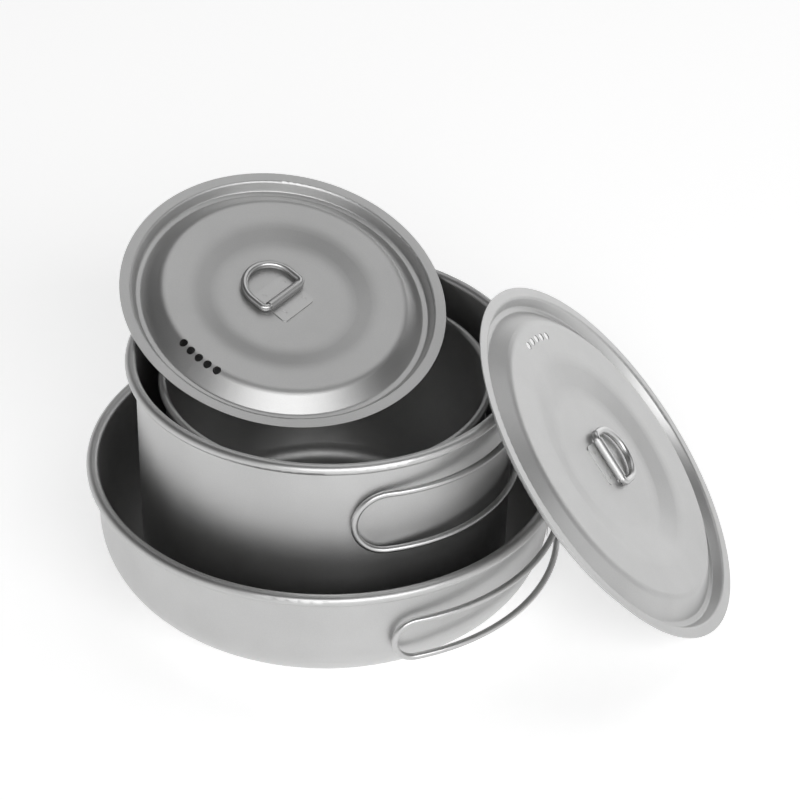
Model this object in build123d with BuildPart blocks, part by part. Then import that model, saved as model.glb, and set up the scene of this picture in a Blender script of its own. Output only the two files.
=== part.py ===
"""Nesting titanium cooking pot set: frying pan, two pots and two lids.

Millimetres, +Z up. The origin is the centre of the frying pan's flat base.
The set stands opened for use: the small pot stands in the large pot, which
stands in the frying pan; the small lid is tilted on top, and the large lid leans
against the large pot's rim from the +X side.
"""

from build123d import *
from math import asin, cos, degrees, radians, sin
import os

os.makedirs("parts", exist_ok=True)

# ---- sheet and wire ----
SHEET = 0.6  # wall of the pan and the pots
LID_SHEET = 0.5  # lids, straps and brackets
HANDLE_WIRE = 1.55  # radius of the folding handles' wire
RING_WIRE = 1.75  # radius of the lid rings' wire
PIN_PLAY = 0.07  # radial clearance of a wire in its barrel
STAND_GAP = 0.1  # between one vessel's floor and the base standing on it

# ---- vessels: outer wall radius, outer radius of the rolled rim, overall top, base corner ----
PAN_WALL, PAN_RIM, PAN_TOP, PAN_CORNER = 107.1, 112.2, 59.9, 30.3
LARGE_WALL, LARGE_RIM, LARGE_TOP, LARGE_CORNER = 87.5, 92.1, 115.3, 12.0
SMALL_WALL, SMALL_RIM, SMALL_TOP, SMALL_CORNER = 74.2, 77.4, 103.0, 10.0
PAN_FLOOR = 0.0
LARGE_FLOOR = PAN_FLOOR + SHEET + STAND_GAP
SMALL_FLOOR = LARGE_FLOOR + SHEET + STAND_GAP

# ---- folding handles: plan arc (radius, centre's offset and its bearing), leg heights ----
HINGE_BEARING = 7.0  # degrees either side of +X
LEG_CORNER = 3.2  # bend from the hinge pin into a leg
PAN_HANDLE = dict(arc=99.5, offset=14.0, bearing=33.0, tip=73.5, low=20.4, high=41.0)
LARGE_HANDLE = dict(arc=78.8, offset=14.0, bearing=38.0, tip=82.0, low=67.0, high=97.6)
SMALL_HANDLE = dict(arc=67.6, offset=11.0, bearing=38.0, tip=82.0, low=60.0, high=85.0)
PLATE_LENGTH = 9.0  # each bracket plate reaches this far beside the barrel
WEB = 1.0  # two plies of sheet between plate and barrel

# ---- lids: profile heights are of the upper face, from the flange's plane ----
SMALL_LID_RADIUS = 77.9
LARGE_LID_RADIUS = 92.6
FLANGE_WIDTH = 5.2
STEP_WIDTH = 2.4
GROOVE_DEPTH = 5.0
GROOVE_WIDTH = 3.0
SLOPE_WIDTH = 9.0
CROWN_HEIGHT = 1.4
DISH_DEPTH = 4.2
CROWN_FALL = 0.4  # the crown sinks this much from its edge to the dish
DISH_INNER, DISH_OUTER = 0.40, 0.58  # the dish's slope, as shares of the lid's radius
LID_BENDS = [30.0, 30.0, 6.0, 1.6, 1.2, 1.2]  # bends of the profile, from the dish outwards
SMALL_VENT_CIRCLE = 58.6  # radius of the vent holes' circle
LARGE_VENT_CIRCLE = 65.4
VENT_RADIUS = 1.9
VENT_STEP = 5.2  # degrees between vent holes
VENT_COUNT = 5

# ---- lid strap and ring ----
STRAP_LENGTH = 20.8  # along the barrel
STRAP_WIDTH = 21.0
STRAP_CORNER = 2.0
RING_LIFT = 2.45  # of the ring's bar above the seat
WELD_SPACING = 13.4
WELD_RADIUS = 1.3
WELD_DEPTH = 0.15
RING_HALF_WIDTH = 13.2
RING_CORNER = 2.7
RING_STRAIGHT = 8.0
END_GAP = 0.6  # between the two ends of a bent wire, inside its barrel


def lid_frame(centre, normal, vent_bearing):
    """Plane of a lid's flange: z along the outward normal, x from the centre towards the vents."""
    normal = Vector(normal).normalized()
    across = Vector(1, 0, 0) - normal * normal.X
    across = across.normalized()
    towards_vents = across.rotate(Axis((0, 0, 0), normal), vent_bearing)
    return Plane(origin=centre, x_dir=towards_vents, z_dir=normal)


SMALL_LID_FRAME = lid_frame((-20.2, 42.3, 118.8), (0.149, -0.306, 0.940), 228.5)
LARGE_LID_FRAME = lid_frame((132.4, -17.9, 68.9), (0.722, -0.113, 0.683), 141.8)


def vessel(wall, rim, top, corner, floor):
    """Deep-drawn round vessel: flat base, rounded corner, straight wall and rim rolled outwards."""
    middle = wall - SHEET / 2
    roll = (rim - SHEET / 2 - middle) / 2
    roll_height = top - SHEET / 2 - roll
    bend = corner - SHEET / 2
    base = floor + SHEET / 2
    tuck = roll * 0.8
    with BuildPart() as bowl:
        with BuildSketch(Plane.XZ):
            with BuildLine():
                Line((0, base), (middle - bend, base))
                CenterArc((middle - bend, base + bend), bend, -90, 90)
                Line((middle, base + bend), (middle, roll_height))
                CenterArc((middle + roll, roll_height), roll, 180, -180)
                CenterArc((middle + 2 * roll - tuck, roll_height), tuck, 0, -140)
            trace(line_width=SHEET)
        revolve(axis=Axis.Z)
    return bowl.part


def plan_arc(handle, bearing):
    """Where a folded front handle's plan arc crosses this bearing, clockwise from +X."""
    away = radians(bearing - handle["bearing"])
    reach = handle["offset"] * cos(away)
    reach += (handle["arc"] ** 2 - (handle["offset"] * sin(away)) ** 2) ** 0.5
    return Vector(reach, 0, 0).rotate(Axis.Z, -bearing)


def front_handle(handle):
    """Bent-wire butterfly handle folded round the vessel, its two ends pinned in a barrel."""
    centre = Vector(handle["offset"], 0, 0).rotate(Axis.Z, -handle["bearing"])
    half = (handle["high"] - handle["low"]) / 2
    middle = Vector(0, 0, (handle["high"] + handle["low"]) / 2)
    high = Vector(0, 0, handle["high"])
    low = Vector(0, 0, handle["low"])
    up = Vector(0, 0, 1)
    tip = plan_arc(handle, handle["tip"])
    start = plan_arc(handle, HINGE_BEARING) - centre
    finish = plan_arc(handle, handle["tip"] - degrees(half / tip.length)) - centre
    halfway = (start + finish).normalized() * handle["arc"]
    backward = Vector(0, 0, 1).cross(start).normalized()
    forward = -Vector(0, 0, 1).cross(finish).normalized()
    start, halfway, finish = centre + start, centre + halfway, centre + finish
    pin = start + backward * LEG_CORNER
    diagonal = LEG_CORNER * (1 - 0.5**0.5)
    high_bend = pin - backward * diagonal + high - up * diagonal
    low_bend = pin - backward * diagonal + low + up * diagonal
    with BuildPart() as wire:
        with BuildLine():
            Line(pin + middle + up * END_GAP / 2, pin + high - up * LEG_CORNER)
            ThreePointArc(pin + high - up * LEG_CORNER, high_bend, start + high)
            ThreePointArc(start + high, halfway + high, finish + high)
            ThreePointArc(finish + high, finish + middle + forward * half, finish + low)
            ThreePointArc(finish + low, halfway + low, start + low)
            ThreePointArc(start + low, low_bend, pin + low + up * LEG_CORNER)
            Line(pin + low + up * LEG_CORNER, pin + middle - up * END_GAP / 2)
        with BuildSketch(Plane(origin=pin + middle + up * END_GAP / 2, z_dir=up)):
            Circle(HANDLE_WIRE)
        sweep()
    return wire.part, pin


def handle_bracket(handle, wall, pin):
    """Sheet strap on the wall with a web and a barrel at each end, one for each handle's pin."""
    height = handle["high"] - handle["low"] - 2 * LEG_CORNER - END_GAP
    bottom = (handle["high"] + handle["low"] - height) / 2
    bore = HANDLE_WIRE + PIN_PLAY
    bearing = degrees(asin(-pin.Y / pin.length))
    spread = bearing + degrees(PLATE_LENGTH / wall)
    with BuildPart() as bracket:
        with BuildSketch(Plane.XY.offset(bottom)):
            with BuildLine():
                CenterArc((0, 0), wall + LID_SHEET / 2, -spread, 2 * spread)
            trace(line_width=LID_SHEET)
            for side in (-1, 1):
                barrel = Vector(pin.length, 0, 0).rotate(Axis.Z, side * bearing)
                foot = barrel.normalized() * (wall + LID_SHEET / 2)
                with BuildLine():
                    Line(foot, barrel)
                trace(line_width=WEB)
                with Locations(barrel):
                    Circle(bore + LID_SHEET)
                    Circle(bore, mode=Mode.SUBTRACT)
        extrude(amount=height)
    return bracket.part


def lid_section(frame):
    """Plane through a lid's axis, its x towards the vents and its y along the outward normal."""
    return Plane(origin=frame.origin, x_dir=frame.x_dir, z_dir=-frame.y_dir)


def lid(frame, radius, vent_circle):
    """Pressed lid: flat flange, locating step, groove, raised crown and a dished centre."""
    flange_inner = radius - FLANGE_WIDTH
    groove_outer = flange_inner - STEP_WIDTH
    groove_inner = groove_outer - GROOVE_WIDTH
    crown_edge = groove_inner - SLOPE_WIDTH
    profile = [
        (0, CROWN_HEIGHT - DISH_DEPTH),
        (DISH_INNER * radius, CROWN_HEIGHT - DISH_DEPTH),
        (DISH_OUTER * radius, CROWN_HEIGHT - CROWN_FALL),
        (crown_edge, CROWN_HEIGHT),
        (groove_inner, -GROOVE_DEPTH),
        (groove_outer, -GROOVE_DEPTH),
        (flange_inner, 0),
        (radius, 0),
    ]
    middle = [(across, rise - LID_SHEET / 2) for across, rise in profile]
    with BuildPart() as cover:
        with BuildSketch(lid_section(frame)):
            with BuildLine():
                FilletPolyline(middle, radius=LID_BENDS)
            trace(line_width=LID_SHEET)
        revolve(axis=Axis(frame.origin, frame.z_dir))
        with BuildSketch(frame):
            with PolarLocations(
                radius=vent_circle,
                count=VENT_COUNT,
                start_angle=-VENT_STEP * (VENT_COUNT - 1) / 2,
                angular_range=VENT_STEP * (VENT_COUNT - 1),
                endpoint=True,
            ):
                Circle(VENT_RADIUS)
        extrude(amount=GROOVE_DEPTH, both=True, mode=Mode.SUBTRACT)
    return cover.part


def strap_seat(frame):
    """Plane of the lid's dished centre, on which the strap is welded."""
    return frame.offset(CROWN_HEIGHT - DISH_DEPTH)


def lid_strap(frame):
    """Sheet strap folded round the ring's bar, with a welded plate on each side of the barrel."""
    seat = strap_seat(frame)
    bore = RING_WIRE + PIN_PLAY
    end = Plane(
        origin=seat.origin - seat.x_dir * STRAP_LENGTH / 2 + seat.z_dir * RING_LIFT,
        x_dir=seat.y_dir,
        z_dir=seat.x_dir,
    )
    with BuildPart() as strap:
        with BuildSketch(seat):
            RectangleRounded(STRAP_LENGTH, STRAP_WIDTH, STRAP_CORNER)
        extrude(amount=LID_SHEET)
        with BuildSketch(end):
            Circle(bore + LID_SHEET)
        extrude(amount=STRAP_LENGTH)
        with BuildSketch(end):
            Circle(bore)
        extrude(amount=STRAP_LENGTH, mode=Mode.SUBTRACT)
        with BuildSketch(seat.offset(LID_SHEET - WELD_DEPTH)):
            with GridLocations(WELD_SPACING, WELD_SPACING, 2, 2):
                Circle(WELD_RADIUS)
        extrude(amount=WELD_DEPTH, mode=Mode.SUBTRACT)
    return strap.part


def lid_ring(frame):
    """Bent-wire D ring folded flat beside the strap, its two ends meeting inside the barrel."""
    level = strap_seat(frame).offset(RING_LIFT)
    side, straight = RING_HALF_WIDTH, -RING_STRAIGHT
    corner = RING_CORNER * (1 - 0.5**0.5)
    points = [
        (END_GAP / 2, 0),
        (side - RING_CORNER, 0),
        (side - corner, -corner),
        (side, -RING_CORNER),
        (side, straight),
        (0, straight - side),
        (-side, straight),
        (-side, -RING_CORNER),
        (corner - side, -corner),
        (RING_CORNER - side, 0),
        (-END_GAP / 2, 0),
    ]
    at = [level.from_local_coords(Vector(across, along, 0)) for across, along in points]
    with BuildPart() as ring:
        with BuildLine():
            Line(at[0], at[1])
            ThreePointArc(at[1], at[2], at[3])
            Line(at[3], at[4])
            ThreePointArc(at[4], at[5], at[6])
            Line(at[6], at[7])
            ThreePointArc(at[7], at[8], at[9])
            Line(at[9], at[10])
        with BuildSketch(Plane(origin=at[0], z_dir=level.x_dir)):
            Circle(RING_WIRE)
        sweep()
    return ring.part


def save(piece, name):
    piece.label = name
    export_step(piece, f"parts/{name}.step")


VESSELS = {
    "frying_pan": (PAN_WALL, PAN_RIM, PAN_TOP, PAN_CORNER, PAN_FLOOR),
    "large_pot": (LARGE_WALL, LARGE_RIM, LARGE_TOP, LARGE_CORNER, LARGE_FLOOR),
    "small_pot": (SMALL_WALL, SMALL_RIM, SMALL_TOP, SMALL_CORNER, SMALL_FLOOR),
}
HANDLES = {
    "frying_pan": PAN_HANDLE,
    "large_pot": LARGE_HANDLE,
    "small_pot": SMALL_HANDLE,
}
LIDS = {
    "small_lid": (SMALL_LID_FRAME, SMALL_LID_RADIUS, SMALL_VENT_CIRCLE),
    "large_lid": (LARGE_LID_FRAME, LARGE_LID_RADIUS, LARGE_VENT_CIRCLE),
}

for name, sizes in VESSELS.items():
    save(vessel(*sizes), name)
    wire, pin = front_handle(HANDLES[name])
    save(wire, f"{name}_front_handle")
    save(mirror(wire, about=Plane.XZ), f"{name}_rear_handle")
    save(handle_bracket(HANDLES[name], sizes[0], pin), f"{name}_bracket")
    print(name, "front hinge axis", round(pin.X, 3), round(pin.Y, 3))

for name, (frame, radius, vent_circle) in LIDS.items():
    save(lid(frame, radius, vent_circle), name)
    save(lid_strap(frame), f"{name}_strap")
    save(lid_ring(frame), f"{name}_ring")
    bar = strap_seat(frame).offset(RING_LIFT).origin
    print(name, "ring axis at", bar, "along", frame.x_dir, "normal", frame.z_dir)
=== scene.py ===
"""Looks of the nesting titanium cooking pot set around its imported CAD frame."""

from math import cos, radians, sin

import bpy
from mathutils import Matrix, Vector

# ---- camera: where it stands, in metres, and how it is turned, in radians ----
CAMERA_PLACE = Vector((0.0, -0.85896, 0.6738))
CAMERA_YAW = 0.040
CAMERA_PITCH = 0.598
CAMERA_ROLL = 0.034
CAMERA_LENS = 100.5
SENSOR_WIDTH = 36.0

# ---- studio ----
FLOOR_SIZE = 12.0  # metres
FLOOR_COLOUR = (0.93, 0.93, 0.93, 1.0)
FLOOR_GLOW = 0.46  # the sweep is lit a little from below, so that it stays white
CEILING_LIGHT = 0.05
HORIZON_LIGHT = 0.90
HORIZON_TOP, CEILING_START = 0.10, 0.55  # heights on the sky's unit sphere
SOFTBOX_TARGET = Vector((0.0, 0.0, 0.05))
SOFTBOXES = {  # place and size in metres, power in watts
    "front_softbox": dict(place=(0.55, -2.0, 1.35), size=(2.8, 1.2), power=40.0),
    "rear_softbox": dict(place=(0.4, 0.9, 2.2), size=(2.2, 1.6), power=11.5),
    "right_softbox": dict(place=(1.7, 2.3, 0.6), size=(2.8, 1.0), power=9.0),
}

# ---- titanium ----
TITANIUM = (0.545, 0.545, 0.543)
BLAST_GRAIN = 1900.0  # per metre: the bead blasting's pits are about 0.5 mm across
SPECKLE = 0.5  # share of the pitting in the tone, beside the clouds
PIT_DEPTH = 0.00005  # metres
CLOUD_GRAIN = 28.0  # per metre: soft handling clouds of a few centimetres
TONE_DARK, TONE_LIGHT = 0.95, 1.05  # the tone's range, as shares of the titanium's colour
TONE_START, TONE_END = 0.3, 0.7  # noise values between which the tone changes

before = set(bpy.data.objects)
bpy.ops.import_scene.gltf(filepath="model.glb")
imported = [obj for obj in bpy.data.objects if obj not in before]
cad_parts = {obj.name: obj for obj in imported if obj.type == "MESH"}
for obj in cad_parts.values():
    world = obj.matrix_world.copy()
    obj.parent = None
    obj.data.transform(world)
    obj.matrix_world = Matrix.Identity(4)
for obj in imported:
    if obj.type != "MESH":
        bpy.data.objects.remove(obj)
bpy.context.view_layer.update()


def look_through(place, yaw, pitch, roll):
    """Camera matrix for a view turned right by yaw, down by pitch and then rolled."""
    forward = Vector((sin(yaw) * cos(pitch), cos(yaw) * cos(pitch), -sin(pitch)))
    level_right = Vector((cos(yaw), -sin(yaw), 0.0))
    level_up = level_right.cross(forward)
    right = cos(roll) * level_right + sin(roll) * level_up
    up = cos(roll) * level_up - sin(roll) * level_right
    turn = Matrix((right, up, -forward)).transposed().to_4x4()
    return Matrix.Translation(place) @ turn


def make_camera():
    data = bpy.data.cameras.new("camera")
    data.lens = CAMERA_LENS
    data.sensor_width = SENSOR_WIDTH
    data.dof.use_dof = False
    data.clip_end = 50.0
    camera = bpy.data.objects.new("camera", data)
    camera.matrix_world = look_through(CAMERA_PLACE, CAMERA_YAW, CAMERA_PITCH, CAMERA_ROLL)
    bpy.context.scene.collection.objects.link(camera)
    bpy.context.scene.camera = camera


def new_material(name):
    material = bpy.data.materials.new(name)
    material.use_nodes = True
    tree = material.node_tree
    return material, tree, tree.nodes["Principled BSDF"]


def titanium(name, roughness, spread, bump):
    """Bead-blasted titanium: fine pitting in bump and tone, soft clouds in roughness and tone."""
    material, tree, shader = new_material(name)
    shader.inputs["Metallic"].default_value = 1.0
    place = tree.nodes.new("ShaderNodeTexCoord")
    grain = tree.nodes.new("ShaderNodeTexNoise")
    grain.inputs["Scale"].default_value = BLAST_GRAIN
    grain.inputs["Detail"].default_value = 2.0
    tree.links.new(place.outputs["Object"], grain.inputs["Vector"])
    pits = tree.nodes.new("ShaderNodeBump")
    pits.inputs["Strength"].default_value = bump
    pits.inputs["Distance"].default_value = PIT_DEPTH
    tree.links.new(grain.outputs["Fac"], pits.inputs["Height"])
    tree.links.new(pits.outputs["Normal"], shader.inputs["Normal"])
    clouds = tree.nodes.new("ShaderNodeTexNoise")
    clouds.inputs["Scale"].default_value = CLOUD_GRAIN
    clouds.inputs["Detail"].default_value = 3.0
    tree.links.new(place.outputs["Object"], clouds.inputs["Vector"])
    rough = tree.nodes.new("ShaderNodeMapRange")
    rough.inputs["To Min"].default_value = roughness - spread
    rough.inputs["To Max"].default_value = roughness + spread
    tree.links.new(clouds.outputs["Fac"], rough.inputs["Value"])
    tree.links.new(rough.outputs["Result"], shader.inputs["Roughness"])
    tone = tree.nodes.new("ShaderNodeValToRGB")
    low, high = tone.color_ramp.elements
    low.position, high.position = TONE_START + SPECKLE / 2, TONE_END + SPECKLE / 2
    low.color = (*[c * TONE_DARK for c in TITANIUM], 1.0)
    high.color = (*[c * TONE_LIGHT for c in TITANIUM], 1.0)
    speckle = tree.nodes.new("ShaderNodeMath")
    speckle.operation = "MULTIPLY_ADD"
    speckle.inputs[1].default_value = SPECKLE
    tree.links.new(grain.outputs["Fac"], speckle.inputs[0])
    tree.links.new(clouds.outputs["Fac"], speckle.inputs[2])
    tree.links.new(speckle.outputs["Value"], tone.inputs["Fac"])
    tree.links.new(tone.outputs["Color"], shader.inputs["Base Color"])
    return material


def dress(material, names):
    """Gives the named CAD nodes this material alone."""
    for name in names:
        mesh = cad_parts[name].data
        mesh.materials.clear()
        mesh.materials.append(material)


def make_studio():
    """White sweep for a floor, and a world that is brightest at the horizon."""
    bpy.ops.mesh.primitive_plane_add(size=FLOOR_SIZE, location=(0, 0, 0))
    floor = bpy.context.object
    floor.name = "studio_floor"
    material, tree, shader = new_material("studio_floor")
    shader.inputs["Base Color"].default_value = FLOOR_COLOUR
    shader.inputs["Roughness"].default_value = 1.0
    shader.inputs["Specular IOR Level"].default_value = 0.0
    shader.inputs["Emission Color"].default_value = (1.0, 1.0, 1.0, 1.0)
    shader.inputs["Emission Strength"].default_value = FLOOR_GLOW
    floor.data.materials.append(material)
    world = bpy.data.worlds.new("studio")
    bpy.context.scene.world = world
    world.use_nodes = True
    tree = world.node_tree
    place = tree.nodes.new("ShaderNodeTexCoord")
    split = tree.nodes.new("ShaderNodeSeparateXYZ")
    ramp = tree.nodes.new("ShaderNodeValToRGB")
    tree.links.new(place.outputs["Generated"], split.inputs["Vector"])
    tree.links.new(split.outputs["Z"], ramp.inputs["Fac"])
    horizon, ceiling = ramp.color_ramp.elements
    horizon.position, ceiling.position = HORIZON_TOP, CEILING_START
    horizon.color = (HORIZON_LIGHT, HORIZON_LIGHT, HORIZON_LIGHT, 1.0)
    ceiling.color = (CEILING_LIGHT, CEILING_LIGHT, CEILING_LIGHT, 1.0)
    tree.links.new(ramp.outputs["Color"], tree.nodes["Background"].inputs["Color"])


def softbox(name, place, size, power):
    """Rectangular area light that faces the object."""
    data = bpy.data.lights.new(name, "AREA")
    data.shape = "RECTANGLE"
    data.size, data.size_y = size
    data.energy = power
    light = bpy.data.objects.new(name, data)
    aim = (SOFTBOX_TARGET - Vector(place)).to_track_quat("-Z", "Y")
    light.matrix_world = Matrix.Translation(place) @ aim.to_matrix().to_4x4()
    bpy.context.scene.collection.objects.link(light)


make_camera()
make_studio()
for name, light in SOFTBOXES.items():
    softbox(name, **light)

bpy.context.scene.view_settings.view_transform = "Standard"

vessel = titanium("titanium_vessel", 0.43, 0.03, 0.50)
lid = titanium("titanium_lid", 0.48, 0.03, 0.50)
sheet = titanium("titanium_sheet", 0.44, 0.04, 0.40)
wire = titanium("titanium_wire", 0.34, 0.04, 0.20)
dress(vessel, ["frying_pan", "large_pot", "small_pot"])
dress(lid, ["small_lid", "large_lid"])
dress(sheet, [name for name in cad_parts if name.endswith(("bracket", "strap"))])
dress(wire, [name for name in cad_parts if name.endswith(("handle", "ring"))])
